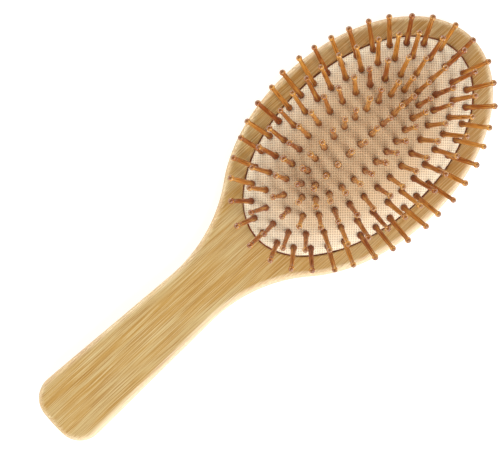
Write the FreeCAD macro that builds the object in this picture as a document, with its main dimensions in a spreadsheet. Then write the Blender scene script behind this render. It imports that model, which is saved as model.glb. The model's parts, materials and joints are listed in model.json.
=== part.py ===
import FreeCAD, Part
import math
import os

import Sketcher

"""Paddle brush: a bamboo board, a domed air cushion and splayed wooden pins.

Millimetres. +X runs along the brush towards the head, +Z is the side of the pins, and z = 0 is the
flat back. The origin is under the middle of the board's length.
"""

Vector = FreeCAD.Vector

# Driving sizes: (alias, value, what it is).
SIZES = (
    ("overall_length", 240.0, "from the handle's end to the head's end"),
    ("board_thickness", 12.0, "the bamboo board, back to front"),
    ("head_half_length", 66.5, "head ellipse, along the brush"),
    ("head_half_width", 43.0, "head ellipse, across the brush"),
    ("blade_end_half_width", 16.0, "handle's sides, carried on to the handle's end"),
    ("blade_root_half_width", 9.2, "handle's sides, carried on to the middle of the head"),
    ("blade_end_bulge", 1.6, "how far the handle's end bows out"),
    ("neck_radius", 66.0, "hollow curve where each side of the handle joins the head"),
    ("end_corner_radius", 10.5, "handle's end corners"),
    ("edge_radius", 3.0, "rounding all round the front and back edges"),
    ("pad_half_length", 57.5, "cushion ellipse, along the brush"),
    ("pad_half_width", 34.1, "cushion ellipse, across the brush"),
    ("recess_depth", 7.0, "recess in the board that holds the cushion"),
    ("recess_gap", 0.2, "between the cushion's edge and the recess wall"),
    ("mouth_radius", 0.6, "rounding of the recess mouth"),
    ("lip_reach", 1.6, "how far the rubber lip stands out under the wall"),
    ("lip_height", 1.5, "thickness of the rubber lip"),
    ("lip_gap", 0.3, "room round the lip in its groove"),
    ("edge_drop", 1.0, "how far the dome's edge lies below the board's front"),
    ("dome_rise", 11.0, "height of the dome above its edge"),
    ("dome_fullness", 0.35, "0 is a plain paraboloid, more is flatter on top and steeper outside"),
    ("fabric_thickness", 0.5, "woven facing"),
    ("glue_film", 0.05, "between the facing and the rubber"),
    ("rubber_thickness", 1.6, "rubber membrane"),
    ("facing_turndown", 2.2, "how far the facing wraps down the cushion's edge"),
    ("pin_length", 20.0, "pin above the facing"),
    ("pin_tip_radius", 1.26, "ball on the end of a pin"),
    ("pin_top_radius", 0.86, "shank where it meets the ball"),
    ("pin_foot_radius", 1.15, "shank where it meets the foot bulb"),
    ("pin_bulb_radius", 1.5, "bulb that sits on the facing"),
    ("pin_bulb_height", 1.0, "middle of the bulb above the facing"),
    ("pin_seat_gap", 0.05, "under the bulb"),
    ("pin_neck_radius", 0.95, "neck through the cushion"),
    ("pin_head_radius", 1.9, "flat head under the cushion"),
    ("pin_head_height", 1.0, "flat head under the cushion"),
    ("pin_head_gap", 0.3, "between the membrane and the flat head"),
    ("pin_hole_gap", 0.05, "round a neck in its hole"),
    ("outer_inset_x", 3.7, "outer ring, in from the cushion's ends"),
    ("outer_inset_y", 2.6, "outer ring, in from the cushion's sides"),
    ("outer_power", 1.94, "outer ring: 2 is an ellipse, less is more pointed"),
    ("second_share_x", 0.896, "second ring, as a share of the outer ring's length"),
    ("second_share_y", 0.813, "second ring, as a share of the outer ring's width"),
    ("second_power", 1.85, "second ring"),
    ("third_share_x", 0.743, "third ring"),
    ("third_share_y", 0.581, "third ring"),
    ("third_power", 1.8, "third ring"),
    ("inner_share_x", 0.598, "inner ring"),
    ("inner_share_y", 0.308, "inner ring"),
    ("inner_power", 1.95, "inner ring"),
    ("centre_share_x", 0.461, "straight row down the middle"),
)

# Rings of pins: name, and the pins in each node from the head end round one side to the handle end.
# The first and last nodes lie across the brush's middle line and the others repeat on both sides.
RINGS = (
    ("outer", (3, 3, 3, 4, 3, 3, 3)),
    ("second", (3, 3, 3, 4, 3, 3)),
    ("third", (3, 4, 3, 4, 3)),
    ("inner", (3, 3, 3, 3, 3)),
)
# Pins in each node of the straight row, from the handle's side to the head's side.
CENTRE_ROW = (3, 3, 3)

# How far the dome's patch runs past the cushion's edge, as a share of the cushion's half sizes.
PATCH_REACH = 1.1
# A square and a fourth power, from -1 to 1, as the five coefficients of a Bezier curve.
SQUARE = (1, 0, -1 / 3, 0, 1)
FOURTH = (1, -1, 1, -1, 1)
# Points that measure the length of a ring of pins.
RING_STEPS = 3600


def add_sheet(doc):
    """Put the driving sizes in a spreadsheet, one alias to a row."""
    sheet = doc.addObject("Spreadsheet::Sheet", "Sizes")
    for row, (alias, value, meaning) in enumerate(SIZES, start=1):
        sheet.set(f"A{row}", meaning)
        sheet.set(f"B{row}", str(value))
        sheet.setAlias(f"B{row}", alias)
    doc.recompute()
    return sheet


def origin_plane(body, role):
    """Return the body's own origin plane with this role."""
    return next(plane for plane in body.Origin.OriginFeatures if plane.Role == role)


def add_body(doc, label):
    """Add an empty PartDesign body, which is one sub-part."""
    body = doc.addObject("PartDesign::Body", label)
    body.Label = label
    doc.recompute()
    return body


def add_sketch(body, name, role="XY_Plane", height=None):
    """Add a sketch on one of the body's origin planes, raised by an expression if one is given."""
    sketch = body.newObject("Sketcher::SketchObject", name)
    sketch.AttachmentSupport = [(origin_plane(body, role), "")]
    sketch.MapMode = "FlatFace"
    if height:
        sketch.setExpression(".AttachmentOffset.Base.z", height)
    return sketch


def constrain(sketch, name, value, expression, *geometry):
    """Add a named dimension to a sketch and bind it to an expression."""
    kind, places = geometry[0], geometry[1:]
    index = sketch.addConstraint(Sketcher.Constraint(kind, *places, value))
    sketch.renameConstraint(index, name)
    sketch.setExpression(f"Constraints.{name}", expression)


def draw_ellipse(sketch, size, margin):
    """Draw an ellipse centred on the head, with half sizes size_half_length and size_half_width.

    margin is an expression that is added to both half sizes.
    """
    sheet = sketch.Document.Sizes
    centre_x = sheet.overall_length / 2 - sheet.head_half_length
    long_half = getattr(sheet, f"{size}_half_length")
    short_half = getattr(sheet, f"{size}_half_width")
    centre = Vector(centre_x, 0, 0)
    ends = (Vector(centre_x + long_half, 0, 0), Vector(centre_x, short_half, 0))
    sketch.addGeometry(Part.Ellipse(*ends, centre), False)
    sketch.exposeInternalGeometry(0)
    sketch.addConstraint(Sketcher.Constraint("PointOnObject", 0, 3, -1))
    sketch.addConstraint(Sketcher.Constraint("Horizontal", 1))
    middle = "Sizes.overall_length / 2 - Sizes.head_half_length"
    constrain(sketch, "centre_x", centre_x, middle, "DistanceX", -1, 1, 0, 3)
    long_axis = f"2 * (Sizes.{size}_half_length + {margin})"
    constrain(sketch, "long_axis", 2 * long_half, long_axis, "Distance", 1)
    short_axis = f"2 * (Sizes.{size}_half_width + {margin})"
    constrain(sketch, "short_axis", 2 * short_half, short_axis, "Distance", 2)


def draw_blade(sketch):
    """Draw the handle's outline: two sides that spread towards the end, and a bowed end."""
    sheet = sketch.Document.Sizes
    root_x = sheet.overall_length / 2 - sheet.head_half_length
    end_x = sheet.blade_end_bulge - sheet.overall_length / 2
    root = [Vector(root_x, side * sheet.blade_root_half_width, 0) for side in (1, -1)]
    end = [Vector(end_x, side * sheet.blade_end_half_width, 0) for side in (1, -1)]
    tip = Vector(-sheet.overall_length / 2, 0, 0)
    sketch.addGeometry(Part.LineSegment(root[1], root[0]), False)
    sketch.addGeometry(Part.LineSegment(root[0], end[0]), False)
    sketch.addGeometry(Part.Arc(end[0], tip, end[1]), False)
    sketch.addGeometry(Part.LineSegment(end[1], root[1]), False)
    joins = ((0, 2, 1, 1), (1, 2, 2, 1), (2, 2, 3, 1), (3, 2, 0, 1))
    for places in joins:
        sketch.addConstraint(Sketcher.Constraint("Coincident", *places))
    sketch.addConstraint(Sketcher.Constraint("Symmetric", 0, 1, 0, 2, -1))
    sketch.addConstraint(Sketcher.Constraint("Symmetric", 1, 2, 3, 1, -1))
    root_text = "Sizes.overall_length / 2 - Sizes.head_half_length"
    constrain(sketch, "root_x", root_x, root_text, "DistanceX", -1, 1, 0, 2)
    end_text = "Sizes.overall_length / 2 - Sizes.blade_end_bulge"
    constrain(sketch, "end_x", -end_x, end_text, "DistanceX", 1, 2, -1, 1)
    root_width = "2 * Sizes.blade_root_half_width"
    constrain(sketch, "root_width", root[0].y * 2, root_width, "DistanceY", 0, 1, 0, 2)
    end_width = "2 * Sizes.blade_end_half_width"
    constrain(sketch, "end_width", end[0].y * 2, end_width, "DistanceY", 3, 1, 1, 2)
    radius = (sheet.blade_end_half_width**2 + sheet.blade_end_bulge**2) / (2 * sheet.blade_end_bulge)
    radius_text = (
        "(Sizes.blade_end_half_width^2 + Sizes.blade_end_bulge^2) / (2 * Sizes.blade_end_bulge)"
    )
    constrain(sketch, "end_radius", radius, radius_text, "Radius", 2)


def add_pad(body, sketch, length):
    """Extrude a sketch by an expression and return the feature."""
    pad = body.newObject("PartDesign::Pad", f"{sketch.Name}_pad")
    pad.Profile = sketch
    pad.setExpression("Length", length)
    sketch.Document.recompute()
    return pad


def add_pocket(body, sketch, depth):
    """Cut a sketch downwards by an expression, and check that it took material away."""
    before = body.Shape.Volume
    pocket = body.newObject("PartDesign::Pocket", f"{sketch.Name}_pocket")
    pocket.Profile = sketch
    pocket.setExpression("Length", depth)
    sketch.Document.recompute()
    if not body.Shape.Volume < before:
        raise RuntimeError(f"{pocket.Name} cuts nothing")
    return pocket


def edges_where(shape, test):
    """Return the names of the shape's edges that pass a test."""
    return [f"Edge{n}" for n, edge in enumerate(shape.Edges, start=1) if test(edge)]


def is_upright(edge):
    """Tell whether an edge is a straight line along Z."""
    ends = [vertex.Point for vertex in edge.Vertexes]
    return len(ends) == 2 and abs(ends[0].z - ends[1].z) > 1 and ends[0].sub(ends[1]).cross(
        Vector(0, 0, 1)
    ).Length < 1e-6


def is_level(edge, height):
    """Tell whether a whole edge lies at this height."""
    box = edge.BoundBox
    return abs(box.ZMin - height) < 1e-6 and abs(box.ZMax - height) < 1e-6


def add_fillet(body, name, edges, radius):
    """Round the named edges of the body's last feature by an expression."""
    if not edges:
        raise RuntimeError(f"{name} has no edges to round")
    base = body.Tip
    fillet = body.newObject("PartDesign::Fillet", name)
    fillet.Base = (base, edges)
    fillet.setExpression("Radius", radius)
    body.Document.recompute()
    return fillet


def add_board(doc):
    """Bamboo board: head, neck and handle in one piece, with the recess and its lip groove."""
    sheet = doc.Sizes
    body = add_body(doc, "bamboo_board")

    head = add_sketch(body, "head_outline")
    draw_ellipse(head, "head", "0")
    add_pad(body, head, "Sizes.board_thickness")

    blade = add_sketch(body, "blade_outline")
    draw_blade(blade)
    add_pad(body, blade, "Sizes.board_thickness")

    head_x = sheet.overall_length / 2 - sheet.head_half_length
    joins = edges_where(
        body.Shape, lambda edge: is_upright(edge) and head_x - sheet.head_half_length <
        edge.BoundBox.XMin < head_x and abs(edge.BoundBox.YMin) > 1
    )
    add_fillet(body, "neck_curves", joins, "Sizes.neck_radius")

    end_x = sheet.blade_end_bulge - sheet.overall_length / 2
    corners = edges_where(
        body.Shape, lambda edge: is_upright(edge) and abs(edge.BoundBox.XMin - end_x) < 1e-3
    )
    add_fillet(body, "end_corners", corners, "Sizes.end_corner_radius")

    top = sheet.board_thickness
    rims = edges_where(body.Shape, lambda edge: is_level(edge, 0) or is_level(edge, top))
    add_fillet(body, "soft_edges", rims, "Sizes.edge_radius")

    recess = add_sketch(body, "recess_outline", height="Sizes.board_thickness")
    draw_ellipse(recess, "pad", "Sizes.recess_gap")
    add_pocket(body, recess, "Sizes.recess_depth")

    groove_top = "Sizes.board_thickness - Sizes.recess_depth + Sizes.lip_height + 2 * Sizes.lip_gap"
    groove = add_sketch(body, "groove_outline", height=groove_top)
    draw_ellipse(groove, "pad", "Sizes.recess_gap + Sizes.lip_reach + Sizes.lip_gap")
    add_pocket(body, groove, "Sizes.lip_height + 2 * Sizes.lip_gap")

    reach = sheet.pad_half_length + sheet.recess_gap
    mouth = edges_where(
        body.Shape, lambda edge: is_level(edge, top) and edge.BoundBox.XMax < head_x + reach + 0.01
        and edge.BoundBox.XMin > head_x - reach - 0.01
    )
    add_fillet(body, "recess_mouth", mouth, "Sizes.mouth_radius")
    return body


def dome_height(sheet, share):
    """Height of the facing above the dome's edge, at a share of the way from middle to edge."""
    full = sheet.dome_fullness
    return sheet.dome_rise * (1 - (1 - full) * share**2 - full * share**4)


def below_dome(sheet, drop):
    """Solid under the dome's surface lowered by drop, in the cushion's frame.

    The surface is a polynomial of fourth degree in x and y, so one Bezier patch holds it exactly.
    SQUARE and FOURTH are the patch's coefficients of a square and of a fourth power.
    """
    full = sheet.dome_fullness
    reach = PATCH_REACH
    patch = Part.BezierSurface()
    patch.increase(4, 4)
    for row, (square_x, fourth_x) in enumerate(zip(SQUARE, FOURTH)):
        for column, (square_y, fourth_y) in enumerate(zip(SQUARE, FOURTH)):
            square = (square_x + square_y) * reach**2
            fourth = (fourth_x + 2 * square_x * square_y + fourth_y) * reach**4
            x = sheet.pad_half_length * reach * (row - 2) / 2
            y = sheet.pad_half_width * reach * (column - 2) / 2
            z = sheet.dome_rise * (1 - (1 - full) * square - full * fourth) - drop
            patch.setPole(row + 1, column + 1, Vector(x, y, z))
    depth = sheet.dome_rise + 2 * sheet.board_thickness
    return patch.toShape().extrude(Vector(0, 0, -depth))


def oval(sheet, margin, low, high):
    """Upright oval block with the cushion's half sizes plus a margin, between two heights."""
    ellipse = Part.Ellipse(
        Vector(sheet.pad_half_length + margin, 0, low),
        Vector(0, sheet.pad_half_width + margin, low),
        Vector(0, 0, low),
    )
    face = Part.Face(Part.Wire([ellipse.toShape()]))
    return face.extrude(Vector(0, 0, high - low))


def pin_holes(sheet, places):
    """Holes for the necks of the pins, through the facing and the rubber."""
    radius = sheet.pin_neck_radius + sheet.pin_hole_gap
    depth = neck_length(sheet) + sheet.pin_bulb_radius
    return [
        Part.makeCylinder(radius, 2 * depth, base.sub(normal * depth), normal)
        for base, normal in places
    ]


def facing_shape(sheet, places):
    """Woven facing: a thin skin over the dome that wraps down the cushion's edge."""
    top = sheet.dome_rise + 1
    low = -sheet.facing_turndown
    outside = oval(sheet, 0, low, top).common(below_dome(sheet, 0))
    thickness = sheet.fabric_thickness
    inside = oval(sheet, -thickness, low - 1, top).common(below_dome(sheet, thickness))
    return outside.cut([inside, *pin_holes(sheet, places)])


def rubber_shape(sheet, places):
    """Moulded rubber cushion: domed membrane, straight skirt, and a lip that snaps in the groove."""
    top = sheet.dome_rise + 1
    film = sheet.fabric_thickness + sheet.glue_film
    floor = edge_height(sheet) - (sheet.board_thickness - sheet.recess_depth)
    low = sheet.lip_gap - floor
    outside = oval(sheet, -film, low, top).common(below_dome(sheet, film))
    lip = oval(sheet, sheet.recess_gap + sheet.lip_reach - sheet.lip_gap, low, low + sheet.lip_height)
    wall = film + sheet.rubber_thickness
    inside = oval(sheet, -wall, low - 1, top).common(below_dome(sheet, wall))
    return outside.fuse(lip).cut([inside, *pin_holes(sheet, places)]).removeSplitter()


def edge_height(sheet):
    """Height of the dome's edge above the board's back."""
    return sheet.board_thickness - sheet.edge_drop


def neck_length(sheet):
    """Length of a pin's neck under the facing's surface, down to its flat head."""
    layers = sheet.fabric_thickness + sheet.glue_film + sheet.rubber_thickness
    return layers + sheet.pin_head_gap


def seat(sheet, flat_x, flat_y):
    """Return the point on the dome above a place on the cushion, and the outward normal there."""
    along = flat_x / sheet.pad_half_length
    across = flat_y / sheet.pad_half_width
    share = math.hypot(along, across)
    point = Vector(flat_x, flat_y, dome_height(sheet, share))
    full = sheet.dome_fullness
    steep = sheet.dome_rise * (2 * (1 - full) + 4 * full * share**2)
    normal = Vector(steep * along / sheet.pad_half_length, steep * across / sheet.pad_half_width, 1)
    return point, normal.normalize()


def ring_half_sizes(sheet, ring):
    """Half the length and width of a ring of pins."""
    half_length = sheet.pad_half_length - sheet.outer_inset_x
    half_width = sheet.pad_half_width - sheet.outer_inset_y
    if ring == "outer":
        return half_length, half_width
    share_x = getattr(sheet, f"{ring}_share_x")
    share_y = getattr(sheet, f"{ring}_share_y")
    return half_length * share_x, half_width * share_y


def ring_seats(sheet, ring, count):
    """Seats evenly spaced round a ring, from the pin at the head end towards +Y."""
    half_length, half_width = ring_half_sizes(sheet, ring)
    bend = 2 / getattr(sheet, f"{ring}_power")
    track = []
    walked = [0.0]
    for step in range(RING_STEPS + 1):
        turn = 2 * math.pi * step / RING_STEPS
        x = half_length * math.copysign(abs(math.cos(turn)) ** bend, math.cos(turn))
        y = half_width * math.copysign(abs(math.sin(turn)) ** bend, math.sin(turn))
        if track:
            walked.append(walked[-1] + math.dist(track[-1], (x, y)))
        track.append((x, y))
    seats = []
    step = 0
    for pin in range(count):
        while walked[step] < walked[-1] * pin / count - 1e-9:
            step += 1
        seats.append(seat(sheet, *track[step]))
    return seats


def pin_groups(sheet):
    """Return {node name: seats of its pins} for every ring and the straight row."""
    groups = {}
    for ring, shares in RINGS:
        sides = shares[1:-1]
        sizes = (shares[0], *sides, shares[-1], *reversed(sides))
        seats = ring_seats(sheet, ring, sum(sizes))
        first = -(shares[0] // 2)
        for number, size in enumerate(sizes, start=1):
            groups[f"{ring}_pins_{number:02d}"] = [seats[n] for n in range(first, first + size)]
            first += size
    reach = (sheet.pad_half_length - sheet.outer_inset_x) * sheet.centre_share_x
    count = sum(CENTRE_ROW)
    places = [2 * reach * pin / (count - 1) - reach for pin in range(count)]
    first = 0
    for number, size in enumerate(CENTRE_ROW, start=1):
        row = [seat(sheet, place, 0) for place in places[first : first + size]]
        groups[f"centre_pins_{number:02d}"] = row
        first += size
    return groups


def draw_pin(sketch):
    """Draw half of a pin's section: flat head, neck, foot bulb, tapered shank and ball tip.

    The sketch's vertical axis is the pin's own axis and its origin is on the facing's surface.
    """
    sheet = sketch.Document.Sizes
    head_low = -neck_length(sheet) - sheet.pin_head_height
    ball_height = sheet.pin_length - sheet.pin_tip_radius
    bulb_low = math.sqrt(sheet.pin_bulb_radius**2 - (sheet.pin_bulb_height - sheet.pin_seat_gap) ** 2)
    bulb_high = math.sqrt(sheet.pin_bulb_radius**2 - sheet.pin_foot_radius**2)
    ball_low = math.sqrt(sheet.pin_tip_radius**2 - sheet.pin_top_radius**2)
    corners = (
        Vector(0, head_low, 0),
        Vector(sheet.pin_head_radius, head_low, 0),
        Vector(sheet.pin_head_radius, head_low + sheet.pin_head_height, 0),
        Vector(sheet.pin_neck_radius, head_low + sheet.pin_head_height, 0),
        Vector(sheet.pin_neck_radius, sheet.pin_seat_gap, 0),
        Vector(bulb_low, sheet.pin_seat_gap, 0),
        Vector(sheet.pin_foot_radius, sheet.pin_bulb_height + bulb_high, 0),
        Vector(sheet.pin_top_radius, ball_height - ball_low, 0),
        Vector(0, sheet.pin_length, 0),
    )
    bulge = Vector(sheet.pin_bulb_radius, sheet.pin_bulb_height, 0)
    tip = Vector(sheet.pin_tip_radius, ball_height, 0)
    middles = {5: bulge, 7: tip}
    count = len(corners)
    for n, corner in enumerate(corners):
        after = corners[(n + 1) % count]
        if n in middles:
            sketch.addGeometry(Part.Arc(corner, middles[n], after), False)
        else:
            sketch.addGeometry(Part.LineSegment(corner, after), False)
    # An arc drawn from three points runs counter-clockwise, so both arcs start at their lower end.
    for n in range(count):
        sketch.addConstraint(Sketcher.Constraint("Coincident", n, 2, (n + 1) % count, 1))
    for line in (0, 2, 4):
        sketch.addConstraint(Sketcher.Constraint("Horizontal", line))
    for line in (1, 3, 8):
        sketch.addConstraint(Sketcher.Constraint("Vertical", line))
    sketch.addConstraint(Sketcher.Constraint("PointOnObject", 0, 1, -2))
    for arc in middles:
        sketch.addConstraint(Sketcher.Constraint("PointOnObject", arc, 3, -2))
    layers = "Sizes.fabric_thickness + Sizes.glue_film + Sizes.rubber_thickness + Sizes.pin_head_gap"
    dimensions = (
        ("head_radius", corners[1].x, "Sizes.pin_head_radius", "DistanceX", -1, 1, 0, 2),
        ("neck_radius", corners[3].x, "Sizes.pin_neck_radius", "DistanceX", -1, 1, 2, 2),
        ("foot_radius", corners[6].x, "Sizes.pin_foot_radius", "DistanceX", -1, 1, 5, 2),
        ("top_radius", corners[7].x, "Sizes.pin_top_radius", "DistanceX", -1, 1, 6, 2),
        ("head_height", sheet.pin_head_height, "Sizes.pin_head_height", "DistanceY", 1, 1, 1, 2),
        ("neck_length", neck_length(sheet), layers, "DistanceY", 2, 2, -1, 1),
        ("seat_gap", sheet.pin_seat_gap, "Sizes.pin_seat_gap", "DistanceY", -1, 1, 3, 2),
        ("bulb_height", sheet.pin_bulb_height, "Sizes.pin_bulb_height", "DistanceY", -1, 1, 5, 3),
        ("bulb_radius", sheet.pin_bulb_radius, "Sizes.pin_bulb_radius", "Radius", 5),
        ("tip_radius", sheet.pin_tip_radius, "Sizes.pin_tip_radius", "Radius", 7),
        ("pin_length", sheet.pin_length, "Sizes.pin_length", "DistanceY", -1, 1, 7, 2),
    )
    for dimension in dimensions:
        constrain(sketch, *dimension)


def add_pin(doc):
    """One turned pin, standing on the origin. Every pin of the brush is a copy of it."""
    body = add_body(doc, "pin_pattern")
    sketch = add_sketch(body, "pin_section", role="XZ_Plane")
    draw_pin(sketch)
    turned = body.newObject("PartDesign::Revolution", "pin_turning")
    turned.Profile = sketch
    turned.ReferenceAxis = (sketch, ["V_Axis"])
    turned.Angle = 360
    doc.recompute()
    return body


def stand_up(pin, base, normal):
    """Return a copy of the pin's shape that stands on a seat."""
    copy = pin.copy()
    copy.Placement = FreeCAD.Placement(base, FreeCAD.Rotation(Vector(0, 0, 1), normal))
    return copy


def add_feature(doc, label, shape):
    """Add a shape made in the cushion's frame as a sub-part, and put it in its place."""
    sheet = doc.Sizes
    feature = doc.addObject("Part::Feature", label)
    feature.Label = label
    feature.Shape = shape
    head_x = sheet.overall_length / 2 - sheet.head_half_length
    feature.Placement = FreeCAD.Placement(Vector(head_x, 0, edge_height(sheet)), FreeCAD.Rotation())
    return feature


def check(doc, parts):
    """Stop if any object failed to build or any sub-part's shape isn't sound."""
    failed = [o.Name for o in doc.Objects if {"Invalid", "Error"} & set(o.State)]
    if failed:
        raise RuntimeError(f"objects failed to build: {failed}")
    for part in parts:
        if part.Shape.isNull() or not part.Shape.isValid():
            raise RuntimeError(f"{part.Label} has no sound shape")


def build():
    """Build the brush's document and return it with its sub-parts."""
    doc = FreeCAD.newDocument("paddle_brush")
    sheet = add_sheet(doc)
    groups = pin_groups(sheet)
    places = [place for seats in groups.values() for place in seats]
    parts = [
        add_board(doc),
        add_feature(doc, "rubber_cushion", rubber_shape(sheet, places)),
        add_feature(doc, "fabric_facing", facing_shape(sheet, places)),
    ]
    pin = add_pin(doc).Shape
    for label, seats in groups.items():
        pins = Part.makeCompound([stand_up(pin, base, normal) for base, normal in seats])
        parts.append(add_feature(doc, label, pins))
    doc.recompute()
    check(doc, parts)
    return doc, parts


def main():
    """Build the brush and write one STEP file for each sub-part."""
    _, parts = build()
    os.makedirs("parts", exist_ok=True)
    for part in parts:
        part.Shape.exportStep(f"parts/{part.Label}.step")
        solids = len(part.Shape.Solids)
        print(f"{part.Label}: {solids} solids, {part.Shape.Volume / 1000:.3f} cm3")


main()
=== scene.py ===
"""Looks of an oval cushion brush: bamboo board, cloth-faced air cushion and turned bamboo pins.

Classes hold their sizes in millimetres. Meshes are made in metres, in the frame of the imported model:
+X runs towards the head, +Z comes out of the pin side, and z = 0 is the flat back.
"""

import json
import logging
import math
from collections.abc import Sequence
from dataclasses import dataclass, field
from enum import Enum

import bpy
import numpy as np
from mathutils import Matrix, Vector
from mathutils.geometry import delaunay_2d_cdt


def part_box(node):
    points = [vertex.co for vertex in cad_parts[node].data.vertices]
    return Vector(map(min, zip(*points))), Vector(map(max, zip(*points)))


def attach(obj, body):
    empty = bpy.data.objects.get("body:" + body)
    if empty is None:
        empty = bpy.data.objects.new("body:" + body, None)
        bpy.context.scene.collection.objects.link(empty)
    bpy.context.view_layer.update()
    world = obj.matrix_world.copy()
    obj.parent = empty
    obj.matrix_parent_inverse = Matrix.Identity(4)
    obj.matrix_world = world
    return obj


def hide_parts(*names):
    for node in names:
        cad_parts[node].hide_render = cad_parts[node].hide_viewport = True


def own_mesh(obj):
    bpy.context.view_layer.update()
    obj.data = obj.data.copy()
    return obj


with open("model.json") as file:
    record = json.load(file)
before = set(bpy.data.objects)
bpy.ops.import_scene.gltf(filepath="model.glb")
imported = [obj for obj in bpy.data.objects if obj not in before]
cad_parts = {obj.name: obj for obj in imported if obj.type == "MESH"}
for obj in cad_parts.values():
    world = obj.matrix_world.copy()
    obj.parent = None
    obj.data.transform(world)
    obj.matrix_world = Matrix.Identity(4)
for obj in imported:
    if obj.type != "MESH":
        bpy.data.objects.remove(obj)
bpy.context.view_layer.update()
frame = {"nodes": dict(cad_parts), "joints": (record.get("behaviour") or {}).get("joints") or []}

log = logging.getLogger("brush")

MM = 0.001
Colour = tuple[float, float, float, float]


def paint(red: int, green: int, blue: int) -> Colour:
    """Turn a screen colour into linear light.

    Args:
        red: Red from 0 to 255.
        green: Green from 0 to 255.
        blue: Blue from 0 to 255.

    Returns:
        The colour with full alpha.
    """
    shares = (red / 255, green / 255, blue / 255)
    linear = [s / 12.92 if s <= 0.04045 else ((s + 0.055) / 1.055) ** 2.4 for s in shares]
    return (linear[0], linear[1], linear[2], 1.0)


# ---------------------------------------------------------------------------------------------
# Node trees written as expressions
# ---------------------------------------------------------------------------------------------


class Wire:
    """One output socket. Arithmetic on it adds Math nodes to its tree."""

    def __init__(self, tree: "Tree", socket: bpy.types.NodeSocket) -> None:
        """Keep the socket and the tree it belongs to."""
        self.tree = tree
        self.socket = socket

    def __add__(self, other: "Wire | float") -> "Wire":
        """Return self + other."""
        return self.tree.math("ADD", self, other)

    def __radd__(self, other: float) -> "Wire":
        """Return other + self."""
        return self.tree.math("ADD", other, self)

    def __sub__(self, other: "Wire | float") -> "Wire":
        """Return self - other."""
        return self.tree.math("SUBTRACT", self, other)

    def __rsub__(self, other: float) -> "Wire":
        """Return other - self."""
        return self.tree.math("SUBTRACT", other, self)

    def __mul__(self, other: "Wire | float") -> "Wire":
        """Return self * other."""
        return self.tree.math("MULTIPLY", self, other)

    def __rmul__(self, other: float) -> "Wire":
        """Return other * self."""
        return self.tree.math("MULTIPLY", other, self)

    def __truediv__(self, other: "Wire | float") -> "Wire":
        """Return self / other."""
        return self.tree.math("DIVIDE", self, other)

    def rise(self, low: float, high: float) -> "Wire":
        """Return a smooth step from 0 at low to 1 at high."""
        settings = {"interpolation_type": "SMOOTHSTEP"}
        return self.tree.wire("ShaderNodeMapRange", settings, {0: self, 1: low, 2: high})

    def clamp(self) -> "Wire":
        """Return the value held between 0 and 1."""
        return self.tree.wire("ShaderNodeClamp", {}, {0: self})


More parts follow.
